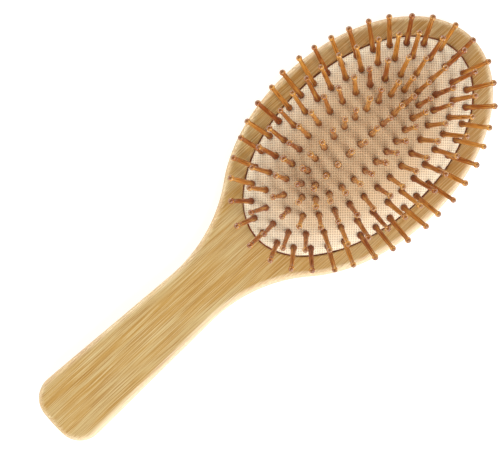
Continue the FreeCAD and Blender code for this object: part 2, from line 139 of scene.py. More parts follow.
class Tree:
    """A shader or geometry node tree."""

    def __init__(self, tree: bpy.types.NodeTree) -> None:
        """Start with an empty tree."""
        self.tree = tree
        tree.nodes.clear()

    def node(
        self, kind: str, settings: dict | None = None, values: dict | None = None
    ) -> bpy.types.Node:
        """Add one node.

        Args:
            kind: The node's type.
            settings: Properties, set before the sockets.
            values: A wire or a constant for each input, by the socket's name or index.

        Returns:
            The new node.
        """
        made = self.tree.nodes.new(kind)
        for name, value in (settings or {}).items():
            setattr(made, name, value)
        for place, value in (values or {}).items():
            socket = made.inputs[place]
            if isinstance(value, Wire):
                self.tree.links.new(value.socket, socket)
            else:
                socket.default_value = value
        return made

    def wire(
        self,
        kind: str,
        settings: dict | None = None,
        values: dict | None = None,
        output: int | str = 0,
    ) -> Wire:
        """Add one node and return one of its outputs.

        Args:
            kind: The node's type.
            settings: Properties, set before the sockets.
            values: A wire or a constant for each input, by the socket's name or index.
            output: Name or index of the output.

        Returns:
            The output as a wire.
        """
        return Wire(self, self.node(kind, settings, values).outputs[output])

    def math(self, operation: str, *values: "Wire | float") -> Wire:
        """Return a Math node's result."""
        return self.wire("ShaderNodeMath", {"operation": operation}, dict(enumerate(values)))

    def pick(self, share: Wire, first: "Wire | float", second: "Wire | float") -> Wire:
        """Return first where share is 0 and second where it is 1."""
        return (1 - share) * first + share * second

    def split(self, vector: Wire) -> tuple[Wire, Wire, Wire]:
        """Return the three parts of a vector."""
        parts = self.node("ShaderNodeSeparateXYZ", {}, {0: vector})
        x, y, z = (Wire(self, part) for part in parts.outputs)
        return x, y, z

    def join(self, x: "Wire | float", y: "Wire | float", z: "Wire | float") -> Wire:
        """Return a vector made of three parts."""
        return self.wire("ShaderNodeCombineXYZ", {}, {0: x, 1: y, 2: z})

    def vector(self, operation: str, *values: "Wire | Sequence[float]") -> Wire:
        """Return a Vector Math node's vector result."""
        return self.wire("ShaderNodeVectorMath", {"operation": operation}, dict(enumerate(values)))

    def blend(self, share: Wire, first: "Wire | Colour", second: "Wire | Colour") -> Wire:
        """Mix two colours.

        Args:
            share: 0 gives the first colour and 1 the second.
            first: A colour or a wire.
            second: A colour or a wire.

        Returns:
            The mixed colour.
        """
        values = {0: share, 6: first, 7: second}
        return self.wire("ShaderNodeMix", {"data_type": "RGBA"}, values, 2)

    def noise(
        self, place: Wire, pitch: tuple[float, float, float], detail: float = 2.0, shift: float = 0.0
    ) -> Wire:
        """Return a soft noise from 0 to 1.

        Args:
            place: Position in millimetres.
            pitch: Size of one patch along each axis, in millimetres.
            detail: How many finer layers are added.
            shift: Moves the pattern, so that two with the same pitch differ.

        Returns:
            The noise.
        """
        scale = tuple(1 / size for size in pitch)
        moved = self.vector("MULTIPLY_ADD", place, scale, (shift, shift, shift))
        values = {"Vector": moved, "Scale": 1.0, "Detail": detail}
        return self.wire("ShaderNodeTexNoise", {"noise_dimensions": "3D"}, values)

    def bump(self, height: Wire, depth: float) -> Wire:
        """Return the normal of a surface raised by a height from 0 to 1 times depth millimetres."""
        return self.wire("ShaderNodeBump", {}, {"Height": height, "Distance": depth * MM})

    def attribute(self, name: str, output: str = "Fac") -> Wire:
        """Return an attribute of the piece's own mesh."""
        return self.wire("ShaderNodeAttribute", {"attribute_name": name}, {}, output)

    def object_place(self) -> Wire:
        """Return the position in millimetres."""
        place = self.wire("ShaderNodeTexCoord", {}, {}, "Object")
        return self.vector("MULTIPLY", place, (1000, 1000, 1000))


class Finish:
    """What every finish shares: a named material whose surface is one Principled shader."""

    name = "finish"

    def make(self) -> bpy.types.Material:
        """Make the material."""
        material = bpy.data.materials.new(self.name)
        material.use_nodes = True
        tree = Tree(material.node_tree)
        shader = tree.wire("ShaderNodeBsdfPrincipled", {}, self.surface(tree))
        tree.node("ShaderNodeOutputMaterial", {}, {"Surface": shader})
        return material

    def surface(self, tree: Tree) -> dict:
        """Return the Principled shader's inputs."""
        raise NotImplementedError


@dataclass(frozen=True)
class BambooFinish(Finish):
    """Satin bamboo board: straight fibre bundles, soft broad bands and thin glued layers, with painted
    shade towards the head and a painted highlight on the rounded edges.
    """

    name: str = "satin_bamboo"
    plain: Colour = paint(187, 160, 106)
    warm: Colour = paint(180, 142, 74)
    dark: Colour = paint(150, 104, 34)
    pale: Colour = paint(206, 188, 142)
    # Painted highlight colour for the rounded edges.
    cream: Colour = paint(236, 222, 200)
    # Painted shade: the brown the head turns towards, standing in for the pins' shade and their brown
    # bounce light.
    head_shade: Colour = paint(148, 98, 60)
    layer: float = 4.0
    glue_line: float = 0.12
    seams_start: tuple[float, float] = (0.5, 1.0)
    seams_end: tuple[float, float] = (11.0, 11.5)

    def surface(self, tree: Tree) -> dict:
        """Return the Principled shader's inputs."""
        place = tree.object_place()
        x, y, z = tree.split(place)
        sheet = tree.math("FLOOR", z / self.layer)
        sway = tree.noise(place, (70, 20, 30)) - 0.5
        flow = tree.join(x + sheet * 137, y + sway * 2.0 + sheet * 31, z)
        fine = tree.noise(flow, (28, 0.3, 0.5), 2.0)
        strand = tree.noise(flow, (40, 0.9, 1.1), 2.0, 11.0)
        band = tree.noise(flow, (48, 4.5, 9.0), 2.0, 23.0)
        colour = tree.blend(band.rise(0.38, 0.62), self.plain, self.warm)
        # Painted shade: browner from 10 to 80 mm along X, towards the head, where the pins shade the
        # board.
        colour = tree.blend(x.rise(10, 80) * 0.35, colour, self.head_shade)
        colour = tree.blend(strand.rise(0.56, 0.68) * 0.25, colour, self.dark)
        colour = tree.blend((1 - strand.rise(0.32, 0.44)) * 0.35, colour, self.pale)
        colour = tree.blend(fine.rise(0.54, 0.58) * 0.65, colour, self.dark)
        colour = tree.blend((1 - fine.rise(0.4, 0.45)) * 0.6, colour, self.pale)
        # Painted highlight: the rounded edges turn cream as if catching the bright surround.
        colour = tree.blend(tree.attribute("rounding") * 0.55, colour, self.cream)
        inside = tree.math("PINGPONG", z, self.layer / 2)
        seam = (1 - inside.rise(0, self.glue_line)) * z.rise(*self.seams_start)
        seam = seam * (1 - z.rise(*self.seams_end))
        colour = tree.blend(seam * 0.35, colour, self.dark)
        return {
            "Base Color": colour,
            "Roughness": 0.4 + fine * 0.16,
            "Coat Weight": 0.2,
            "Coat Roughness": 0.25,
            "Normal": tree.bump(fine * 0.6 + strand * 0.4, 0.05),
        }


@dataclass(frozen=True)
class ClothFinish(Finish):
    """Open plain weave of cream yarn; the gaps between the yarns show as small brown dots. Painted
    shade darkens the weave's low parts and the cushion's crown.
    """

    name: str = "cream_weave"
    yarn: Colour = paint(253, 244, 222)
    shade: Colour = paint(243, 223, 187)
    # Painted shade colour that the cloth turns towards on the crown.
    wear_and_shade: Colour = paint(222, 188, 142)
    gap: Colour = paint(120, 76, 36)
    pitch: float = 1.0

    def surface(self, tree: Tree) -> dict:
        """Return the Principled shader's inputs."""
        place = tree.attribute("weave", "Vector")
        sway = tree.noise(place, (7, 7, 7)) - 0.5
        u, v, _ = tree.split(place)
        u = u / self.pitch + sway * 0.5
        v = v / self.pitch - sway * 0.5
        over = tree.math("SINE", u * math.pi) * tree.math("SINE", v * math.pi)
        warp = 0.5 - tree.math("COSINE", u * math.tau) * 0.5
        weft = 0.5 - tree.math("COSINE", v * math.tau) * 0.5
        height = warp * (0.5 + over * 0.5) + weft * (0.5 - over * 0.5)
        hole = (1 - warp) * (1 - weft)
        slub = tree.noise(tree.join(u, v * 0.05, 0.0), (0.9, 1, 1)) * 0.5
        slub = slub + tree.noise(tree.join(u * 0.05, v, 0.0), (1, 0.9, 1), 2.0, 7.0) * 0.5
        colour = tree.blend(slub.rise(0.35, 0.65) * 0.4, self.yarn, self.shade)
        # Painted shade: darker and browner towards the crown, standing in for the shade the pins cast
        # over the middle.
        crown = tree.attribute("crown")
        colour = tree.blend(crown.rise(0.05, 0.9) * 0.75, colour, self.wear_and_shade)
        # Painted shade: the weave's low parts darken towards the gap colour, and the gaps show as dots
        # of what lies beneath; both darken more towards the crown as painted shade.
        valley_shade = (1 - height.rise(0.35, 0.65)) * tree.pick(crown, 0.1, 0.2)
        colour = tree.blend(valley_shade, colour, self.gap)
        colour = tree.blend(hole.rise(0.2, 0.45) * tree.pick(crown, 0.3, 0.4), colour, self.gap)
        return {
            "Base Color": colour,
            "Roughness": 0.9,
            "Specular IOR Level": 0.1,
            "Sheen Weight": 0.1,
            "Normal": tree.bump(height + slub * 0.3, 0.12),
        }


@dataclass(frozen=True)
class RubberFinish(Finish):
    """Matt red-brown moulded rubber."""

    name: str = "red_brown_rubber"
    plain: Colour = paint(132, 58, 32)
    # On the rubber this colour is only paler cloudy patches of the rubber itself.
    wear_and_shade: Colour = paint(156, 78, 46)

    def surface(self, tree: Tree) -> dict:
        """Return the Principled shader's inputs."""
        place = tree.object_place()
        cloud = tree.noise(place, (5, 5, 5), 3.0)
        grit = tree.noise(place, (0.4, 0.4, 0.4), 2.0)
        return {
            "Base Color": tree.blend(cloud.rise(0.4, 0.7), self.plain, self.wear_and_shade),
            "Roughness": 0.6 + grit * 0.2,
            "Normal": tree.bump(grit, 0.03),
        }


@dataclass(frozen=True)
class PinFinish(Finish):
    """Turned and lacquered bamboo: fibres along the pin, darker at the foot and on the tip."""

    name: str = "turned_bamboo"
    plain: Colour = paint(206, 142, 58)
    deep: Colour = paint(154, 80, 26)
    foot: Colour = paint(112, 48, 14)
    tip: Colour = paint(106, 54, 20)
    fibre: Colour = paint(116, 56, 12)
    pale: Colour = paint(236, 184, 90)

    def surface(self, tree: Tree) -> dict:
        """Return the Principled shader's inputs."""
        along = tree.attribute("along")
        tone = tree.attribute("tone")
        grain = tree.attribute("grain", "Vector")
        fine = tree.noise(grain, (0.36, 0.36, 7.0), 2.0)
        broad = tree.noise(grain, (0.9, 0.9, 12.0), 1.0, 5.0)
        colour = tree.blend(tone, self.plain, self.deep)
        colour = tree.blend(fine.rise(0.5, 0.64) * 0.65, colour, self.fibre)
        colour = tree.blend((1 - broad.rise(0.34, 0.5)) * 0.6, colour, self.pale)
        colour = tree.blend((1 - along.rise(0.03, 0.3)) * 0.75, colour, self.foot)
        colour = tree.blend(along.rise(0.96, 0.99) * 0.75, colour, self.tip)
        return {
            "Base Color": colour,
            "Roughness": 0.3 + fine * 0.15,
            "Specular IOR Level": 0.0,
            "Coat Weight": 0.7,
            "Coat IOR": 1.6,
            "Coat Roughness": 0.06,
            "Normal": tree.bump(fine, 0.04),
        }


@dataclass(frozen=True)
class FloorFinish(Finish):
    """Plain white floor, lit from below so that shadows on it stay faint."""

    name: str = "white_floor"
    plain: Colour = (0.8, 0.8, 0.8, 1.0)
    glow_colour: Colour = (1.0, 1.0, 1.0, 1.0)
    glow: float = 0.5

    def surface(self, tree: Tree) -> dict:
        """Return the Principled shader's inputs."""
        return {
            "Base Color": self.plain,
            "Roughness": 0.9,
            "Emission Color": self.glow_colour,
            "Emission Strength": self.glow,
        }


# ---------------------------------------------------------------------------------------------
# Meshes
# ---------------------------------------------------------------------------------------------


class Shell:
    """Points and faces of one piece in millimetres, built from loops that run counter-clockwise."""

    def __init__(self) -> None:
        """Start empty."""
        self.points: list[tuple[float, float, float]] = []
        self.faces: list[tuple[int, ...]] = []
        self.marks: list[float] = []

    def loop(self, plan: np.ndarray, height: float, mark: float | np.ndarray = 0.0) -> list[int]:
        """Add a level loop.

        Args:
            plan: The loop's points, x and y.
            height: Its z.
            mark: A value kept for each point.

        Returns:
            The points' indices.
        """
        first = len(self.points)
        self.points += [(float(x), float(y), height) for x, y in plan]
        self.marks += list(np.broadcast_to(mark, len(plan)))
        return list(range(first, len(self.points)))

    def band(self, first: Sequence[int], second: Sequence[int]) -> None:
        """Join two loops of the same length by quads."""
        for n in range(len(first)):
            after = (n + 1) % len(first)
            self.faces.append((first[n], first[after], second[after], second[n]))

    def bands(self, loops: Sequence[Sequence[int]], closed: bool = False) -> None:
        """Join each loop to the next, and the last to the first if closed."""
        for n in range(len(loops) - (not closed)):
            self.band(loops[n], loops[(n + 1) % len(loops)])

    def fill(self, outer: Sequence[int], inner: Sequence[int] = (), upward: bool = True) -> None:
        """Fill a level loop with triangles, leaving out an inner loop."""
        ids = [*outer, *inner]
        plan = [Vector(self.points[i][:2]) for i in ids]
        rim = [(n, (n + 1) % len(outer)) for n in range(len(outer))]
        start = len(outer)
        rim += [(start + n, start + (n + 1) % len(inner)) for n in range(len(inner))]
        made = delaunay_2d_cdt(plan, rim, [], 1, 1e-7)
        hole = np.array([p[:] for p in plan[start:]]) if inner else None
        where = [ids[origin[0]] for origin in made[3]]
        for a, b, c in made[2]:
            middle = (made[0][a] + made[0][b] + made[0][c]) / 3
            if hole is not None and inside(hole, middle):
                continue
            turn = (made[0][b] - made[0][a]).cross(made[0][c] - made[0][a])
            corner = (where[a], where[b], where[c])
            self.faces.append(corner if (turn > 0) == upward else corner[::-1])

    def piece(self, name: str, material: bpy.types.Material, sharp: float = 40.0) -> bpy.types.Object:
        """Make the piece.

        Args:
            name: Its name.
            material: Its only material.
            sharp: Edges that bend more than this, in degrees, are shaded sharp.

        Returns:
            The object, linked to the scene.
        """
        mesh = bpy.data.meshes.new(name)
        mesh.from_pydata([Vector(p) * MM for p in self.points], [], self.faces)
        # These marks hold the board's painted highlight share on its rounded edges; other pieces get
        # zeros.
        mesh.attributes.new("rounding", "FLOAT", "POINT").data.foreach_set("value", self.marks)
        mesh.shade_smooth()
        mesh.set_sharp_from_angle(angle=math.radians(sharp))
        return add_object(name, mesh, material)


def inside(loop: np.ndarray, point: Vector) -> bool:
    """Tell whether a point is inside a convex loop that runs counter-clockwise."""
    side = np.roll(loop, -1, axis=0) - loop
    to_point = np.array(point[:]) - loop
    return bool(np.all(side[:, 0] * to_point[:, 1] - side[:, 1] * to_point[:, 0] > 0))


def add_object(
    name: str, mesh: bpy.types.Mesh, material: bpy.types.Material | None = None
) -> bpy.types.Object:
    """Add a mesh to the scene as an object with one material."""
    if material:
        mesh.materials.append(material)
    made = bpy.data.objects.new(name, mesh)
    bpy.context.scene.collection.objects.link(made)
    return made


def apply_modifiers(piece: bpy.types.Object) -> None:
    """Replace the piece's mesh by what its modifiers make of it."""
    depsgraph = bpy.context.evaluated_depsgraph_get()
    mesh = bpy.data.meshes.new_from_object(
        piece.evaluated_get(depsgraph), preserve_all_data_layers=True, depsgraph=depsgraph
    )
    mesh.name = piece.name
    piece.modifiers.clear()
    piece.data = mesh


def oval(half_length: float, half_width: float, count: int, middle: float = 0.0) -> np.ndarray:
    """Return the points of an ellipse.

    Args:
        half_length: Half its size along X.
        half_width: Half its size along Y.
        count: Number of points.
        middle: X of its middle.

    Returns:
        The points, x and y, counter-clockwise.
    """
    turn = np.arange(count) * math.tau / count
    return np.column_stack([middle + half_length * np.cos(turn), half_width * np.sin(turn)])


# ---------------------------------------------------------------------------------------------
# The bamboo board
# ---------------------------------------------------------------------------------------------


@dataclass
class Board:
    """Head, neck and handle in one piece, with the recess for the cushion."""

    finish: BambooFinish = BambooFinish()
    head_half_length: float = 66.5
    head_half_width: float = 43.0
    blade_end_half_width: float = 16.0
    blade_root_half_width: float = 9.2
    blade_end_bulge: float = 1.6
    neck_radius: float = 66.0
    end_corner_radius: float = 10.5
    edge_radius: float = 3.0
    recess_depth: float = 7.0
    recess_gap: float = 0.2
    mouth_radius: float = 0.6
    groove_reach: float = 2.1
    groove_height: float = 2.1
    flat_border: float = 0.4
    edge_steps: int = 9
    recess_points: int = 180

    def outline(self) -> tuple[np.ndarray, np.ndarray]:
        """Return the outline's points and outward normals, counter-clockwise from the head's end."""
        low, high = (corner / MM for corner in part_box("bamboo_board"))
        head_x = high.x - self.head_half_length
        root = np.array([head_x, self.blade_root_half_width])
        end = np.array([low.x + self.blade_end_bulge, self.blade_end_half_width])
        run = (end - root) / np.linalg.norm(end - root)
        out = np.array([-run[1], run[0]]) * -1

        def head(turn: float) -> tuple[np.ndarray, np.ndarray]:
            """Return a point of the head's ellipse and the normal there."""
            half_length, half_width = self.head_half_length, self.head_half_width
            point = [head_x + half_length * math.cos(turn), half_width * math.sin(turn)]
            normal = [math.cos(turn) / half_length, math.sin(turn) / half_width]
            return np.array(point), np.array(normal) / math.hypot(*normal)

        early, late = math.pi / 2, math.pi
        for _ in range(50):
            turn = (early + late) / 2
            point, normal = head(turn)
            if (point + normal * self.neck_radius - root) @ out > self.neck_radius:
                early = turn
            else:
                late = turn
        neck_middle = point + normal * self.neck_radius
        bulge = self.blade_end_bulge
        end_radius = (self.blade_end_half_width**2 + bulge**2) / (2 * bulge)
        end_middle = np.array([low.x + end_radius, 0.0])
        start = root - out * self.end_corner_radius - end_middle
        reach = end_radius - self.end_corner_radius
        along = start @ run
        corner_run = -along + math.sqrt(along**2 - start @ start + reach**2)
        corner_middle = end_middle + start + run * corner_run
        corner_end = (corner_middle - end_middle) / reach

        places, normals = [], []

        def arc(
            middle: np.ndarray, radius: float, first: np.ndarray, last: np.ndarray, count: int
        ) -> None:
            """Add an arc; a radius below 0 is a hollow one."""
            one, two = math.atan2(first[1], first[0]), math.atan2(last[1], last[0])
            for angle in np.linspace(one, two, count, endpoint=False):
                normal = np.array([math.cos(angle), math.sin(angle)])
                places.append(middle + normal * radius)
                normals.append(normal)

        for angle in np.linspace(0, turn, 110, endpoint=False):
            place, normal_here = head(angle)
            places.append(place)
            normals.append(normal_here)
        arc(neck_middle, -self.neck_radius, normal, out, 36)
        line_start = neck_middle - out * self.neck_radius
        line_end = corner_middle + out * self.end_corner_radius
        for share in np.linspace(0, 1, 30, endpoint=False):
            places.append(line_start + (line_end - line_start) * share)
            normals.append(out)
        arc(corner_middle, self.end_corner_radius, out, corner_end, 16)
        arc(end_middle, end_radius, corner_end, np.array([-1.0, 0.0]), 8)
        places.append(np.array([low.x, 0.0]))
        normals.append(np.array([-1.0, 0.0]))
        half, turned = np.array(places), np.array(normals)
        mirror = np.array([1.0, -1.0])
        return (
            np.vstack([half, half[-2:0:-1] * mirror]),
            np.vstack([turned, turned[-2:0:-1] * mirror]),
        )

    def build(self) -> bpy.types.Object:
        """Build the board."""
        low, high = (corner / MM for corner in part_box("bamboo_board"))
        pad_low, pad_high = (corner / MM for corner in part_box("fabric_facing"))
        pad_middle = (pad_low + pad_high) / 2
        pad_half = (pad_high - pad_low) / 2
        places, normals = self.outline()
        shell = Shell()
        radius, top = self.edge_radius, high.z
        steps = np.linspace(0, math.pi / 2, self.edge_steps + 1)
        profile = [(radius + self.flat_border, 0.0, 0.0)]
        profile += [(radius * (1 - math.sin(a)), radius * (1 - math.cos(a)), 0.0) for a in steps]
        # The upper fillet's marks are its share of painted highlight: none at the flat top, most
        # partway round the edge.
        for a in steps:
            mark = math.cos(a) * min(1, 0.2 + 2.4 * math.sin(a))
            profile.append((radius * (1 - math.cos(a)), top - radius * (1 - math.sin(a)), mark))
        profile.append((radius + self.flat_border, top, 0.0))
        # Painted highlight weighted as if lit from -Y: full on the -Y side, 0.4 on the +Y side, 0.3 at
        # the ends.
        side = 0.3 + 0.4 * np.abs(normals[:, 1]) - 0.3 * normals[:, 1]
        rim = [shell.loop(places - normals * inset, z, mark * side) for inset, z, mark in profile]
        shell.bands(rim)
        shell.fill(rim[0], upward=False)

        mouth, gap = self.mouth_radius, self.recess_gap
        floor = top - self.recess_depth
        hollow = [(gap + mouth + self.flat_border, top)]
        hollow += [(gap + mouth * (1 - math.sin(a)), top - mouth * (1 - math.cos(a))) for a in steps]
        roof, reach = floor + self.groove_height, self.groove_reach
        hollow += [(gap, roof), (reach, roof), (reach, floor), (gap, floor)]
        sides = []
        for margin, z in hollow:
            plan = oval(pad_half.x + margin, pad_half.y + margin, self.recess_points, pad_middle.x)
            sides.append(shell.loop(plan, z))
        shell.bands(sides)
        shell.fill(rim[-1], sides[0])
        shell.fill(sides[-1])
        board = shell.piece("bamboo_board_finished", self.finish.make())
        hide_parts("bamboo_board")
        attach(board, "brush_body")
        return board


# ---------------------------------------------------------------------------------------------
# The pins
# ---------------------------------------------------------------------------------------------


@dataclass
class Seat:
    """Where one pin stands: its foot on the facing and the direction it points, in millimetres."""

    foot: np.ndarray
    aim: np.ndarray


def islands(points: np.ndarray, triangles: np.ndarray) -> list[np.ndarray]:
    """Return the points of each separate solid in a mesh of loose triangles."""
    _, same = np.unique(np.round(points, 3), axis=0, return_inverse=True)
    corners = same.reshape(-1)[triangles]
    label = np.arange(corners.max() + 1)
    while True:
        lowest = label[corners].min(axis=1)
        before = label.copy()
        for column in range(3):
            np.minimum.at(label, corners[:, column], lowest)
        label = label[label]
        if np.array_equal(before, label):
            break
    found = label[same.reshape(-1)]
    return [points[found == name] for name in np.unique(found)]


@dataclass
class Pins:
    """Every turned pin: one piece for each body, made by one geometry node tree."""

    finish: PinFinish = PinFinish()
    length: float = 20.0
    ball_radius: float = 1.26
    shank_top_radius: float = 0.86
    shank_foot_radius: float = 1.15
    bulb_radius: float = 1.5
    bulb_height: float = 1.0
    neck_radius: float = 0.95
    neck_length: float = 2.45
    head_radius: float = 1.9
    head_height: float = 1.0
    lean: float = 0.035
    sides: int = 12
    foot_rings: int = 3
    shank_rings: int = 5
    ball_rings: int = 6
    seats: dict[str, list[Seat]] = field(default_factory=dict)

    def find_seats(self) -> None:
        """Read every pin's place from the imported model."""
        for name, node in frame["nodes"].items():
            if "_pins_" not in name:
                continue
            mesh = node.data
            mesh.calc_loop_triangles()
            points = np.zeros(len(mesh.vertices) * 3)
            mesh.vertices.foreach_get("co", points)
            triangles = np.zeros(len(mesh.loop_triangles) * 3, np.int32)
            mesh.loop_triangles.foreach_get("vertices", triangles)
            solids = islands(points.reshape(-1, 3) / MM, triangles.reshape(-1, 3))
            self.seats[name] = [self.seat_of(solid) for solid in solids]

    def seat_of(self, solid: np.ndarray) -> Seat:
        """Return the seat of one pin from the points of its solid."""
        middle = solid.mean(axis=0)
        _, _, axes = np.linalg.svd(solid - middle, full_matrices=False)
        aim = axes[0] * math.copysign(1, axes[0][2])
        height = ((solid - middle) @ aim).max()
        return Seat(middle + aim * (height - self.length), aim)

    def tree(self) -> tuple[bpy.types.NodeTree, dict[str, str]]:
        """Build the node tree that turns a pin and stands a copy on each seat.

        Returns:
            The tree, and the identifier of each named input.
        """
        group = bpy.data.node_groups.new("turned_pins", "GeometryNodeTree")
        sockets = {}

        def plug(name: str, kind: str, value: float | None = None) -> None:
            """Add a named input."""
            made = group.interface.new_socket(name, in_out="INPUT", socket_type=kind)
            if value is not None:
                made.default_value = value
            sockets[name] = made.identifier

        group.interface.new_socket("Geometry", in_out="OUTPUT", socket_type="NodeSocketGeometry")
        plug("Geometry", "NodeSocketGeometry")
        lengths = {
            "Length": self.length,
            "Ball Radius": self.ball_radius,
            "Shank Top Radius": self.shank_top_radius,
            "Shank Foot Radius": self.shank_foot_radius,
            "Bulb Radius": self.bulb_radius,
            "Bulb Height": self.bulb_height,
            "Neck Radius": self.neck_radius,
            "Neck Length": self.neck_length,
            "Head Radius": self.head_radius,
            "Head Height": self.head_height,
        }
        for name, value in lengths.items():
            plug(name, "NodeSocketFloat", value * MM)
        plug("Lean", "NodeSocketFloat", self.lean)
        plug("Seed", "NodeSocketInt", 0)
        plug("Material", "NodeSocketMaterial")
        tree = Tree(group)
        given = tree.node("NodeGroupInput")
        size = {name: Wire(tree, given.outputs[name]) for name in sockets}
        pin = self.turned_pin(tree, size)
        copies = self.stand_on_seats(tree, size, pin)
        tree.node("NodeGroupOutput", {}, {0: copies})
        return group, sockets

    def turned_pin(self, tree: Tree, size: dict[str, Wire]) -> Wire:
        """Shape one pin from a plain cylinder: foot bulb, tapered shank, ball, neck and flat head.

        Args:
            tree: The tree that gets the nodes.
            size: The tree's named inputs.

        Returns:
            The pin's mesh, standing on the origin.
        """
        rings = self.foot_rings + self.shank_rings + self.ball_rings
        blank = {"Vertices": self.sides, "Side Segments": rings, "Fill Segments": 1}
        blank |= {"Radius": 1.0, "Depth": 1.0}
        rod = tree.wire("GeometryNodeMeshCylinder", {"fill_type": "TRIANGLE_FAN"}, blank)
        x, y, z = tree.split(tree.wire("GeometryNodeInputPosition"))
        along = z + 0.5

        ball = size["Ball Radius"]
        ball_z = size["Length"] - ball
        ball_open = math.pi - tree.math("ARCSINE", size["Shank Top Radius"] / ball)
        below_ball = self.foot_rings + self.shank_rings
        ball_part = ((along * rings - below_ball) / self.ball_rings).clamp()
        ball_turn = (1 - ball_part) * ball_open
        bulb = size["Bulb Radius"]
        bulb_low = tree.math("ARCSINE", size["Bulb Height"] / bulb) * -0.95
        bulb_high = tree.math("ARCCOSINE", size["Shank Foot Radius"] / bulb)
        bulb_turn = tree.pick((along * rings / self.foot_rings).clamp(), bulb_low, bulb_high)
        share = ((along * rings - self.foot_rings) / self.shank_rings).clamp()
        shank_low = size["Bulb Height"] + bulb * tree.math("SINE", bulb_high)
        shank_high = ball_z + ball * tree.math("COSINE", ball_open)
        waist = share * (1 - share) * 4
        shank_wide = tree.pick(share, size["Shank Foot Radius"], size["Shank Top Radius"])
        shank_wide = shank_wide * (1 - waist * 0.04)

        in_ball = tree.math("GREATER_THAN", ball_part, 0.001)
        in_foot = tree.math("LESS_THAN", share, 0.001)
        wide = tree.pick(in_foot, shank_wide, bulb * tree.math("COSINE", bulb_turn))
        wide = tree.pick(in_ball, wide, ball * tree.math("SINE", ball_turn))
        high = tree.pick(share, shank_low, shank_high)
        high = tree.pick(in_foot, high, size["Bulb Height"] + bulb * tree.math("SINE", bulb_turn))
        high = tree.pick(in_ball, high, ball_z + ball * tree.math("COSINE", ball_turn))
        place = tree.join(x * wide, y * wide, high)
        pin = tree.wire("GeometryNodeSetPosition", {}, {"Geometry": rod, "Position": place})

        def rod_below(radius: Wire, low: Wire, high_end: "Wire | float") -> Wire:
            """Add a short plain cylinder between two heights."""
            depth = high_end - low
            values = {"Vertices": 8, "Side Segments": 1, "Radius": radius, "Depth": depth}
            made = tree.wire("GeometryNodeMeshCylinder", {"fill_type": "NGON"}, values)
            lift = tree.join(0.0, 0.0, (low + high_end) * 0.5)
            return tree.wire("GeometryNodeTransform", {}, {"Geometry": made, "Translation": lift})

        neck_low = size["Neck Length"] * -1.0
        neck = rod_below(size["Neck Radius"], neck_low, size["Bulb Height"] * 0.5)
        head = rod_below(size["Head Radius"], neck_low - size["Head Height"], neck_low)
        joined = tree.node("GeometryNodeJoinGeometry")
        for part in (head, neck, pin):
            tree.tree.links.new(part.socket, joined.inputs[0])
        whole = Wire(tree, joined.outputs[0])
        spot = tree.wire("GeometryNodeInputPosition")
        _, _, height = tree.split(spot)
        whole = self.keep(tree, whole, "along", "FLOAT", height / size["Length"])
        millimetres = tree.vector("MULTIPLY", spot, (1000, 1000, 1000))
        return self.keep(tree, whole, "grain", "FLOAT_VECTOR", millimetres)

    def keep(
        self, tree: Tree, geometry: Wire, name: str, kind: str, value: Wire, on: str = "POINT"
    ) -> Wire:
        """Store a named attribute.

        Args:
            tree: The tree that gets the node.
            geometry: What the attribute is stored on.
            name: The attribute's name.
            kind: Its data type.
            value: Its value.
            on: Its domain.

        Returns:
            The geometry with the attribute.
        """
        values = {"Geometry": geometry, "Name": name, "Value": value}
        settings = {"data_type": kind, "domain": on}
        return tree.wire("GeometryNodeStoreNamedAttribute", settings, values)

    def stand_on_seats(self, tree: Tree, size: dict[str, Wire], pin: Wire) -> Wire:
        """Put a copy of the pin on each seat, each turned and leaning a little its own way.

        Args:
            tree: The tree that gets the nodes.
            size: The tree's named inputs.
            pin: The pin's mesh.

        Returns:
            The copies as one real mesh with its material.
        """

        def chance(low: float, high: float, extra: int) -> Wire:
            """Return a random number for each seat."""
            values = {2: low, 3: high, "Seed": size["Seed"] + extra}
            return tree.wire("FunctionNodeRandomValue", {"data_type": "FLOAT"}, values, 1)

        settings = {"data_type": "FLOAT_VECTOR"}
        aim = tree.wire("GeometryNodeInputNamedAttribute", settings, {0: "aim"})
        sway = tree.join(chance(-1, 1, 1), chance(-1, 1, 2), 0.0)
        lean = tree.vector("MULTIPLY", sway, tree.join(size["Lean"], size["Lean"], 0.0))
        leaning = tree.vector("ADD", aim, lean)
        upright = tree.wire("FunctionNodeAlignRotationToVector", {"axis": "Z"}, {"Vector": leaning})
        spin = {"Axis": (0, 0, 1), "Angle": chance(0, math.tau, 3)}
        twist = tree.wire("FunctionNodeAxisAngleToRotation", {}, spin)
        settings = {"rotation_space": "LOCAL"}
        rotation = tree.wire("FunctionNodeRotateRotation", settings, {0: upright, 1: twist})
        girth = chance(0.97, 1.07, 4)
        scale = tree.join(girth, girth, chance(0.985, 1.0, 5))
        values = {"Points": size["Geometry"], "Instance": pin, "Rotation": rotation, "Scale": scale}
        copies = tree.wire("GeometryNodeInstanceOnPoints", {}, values)
        copies = self.keep(tree, copies, "tone", "FLOAT", chance(0, 1, 6), "INSTANCE")
        real = tree.wire("GeometryNodeRealizeInstances", {}, {0: copies})
        smooth = tree.wire("GeometryNodeSetShadeSmooth", {}, {0: real})
        values = {"Geometry": smooth, "Material": size["Material"]}
        return tree.wire("GeometryNodeSetMaterial", {}, values)

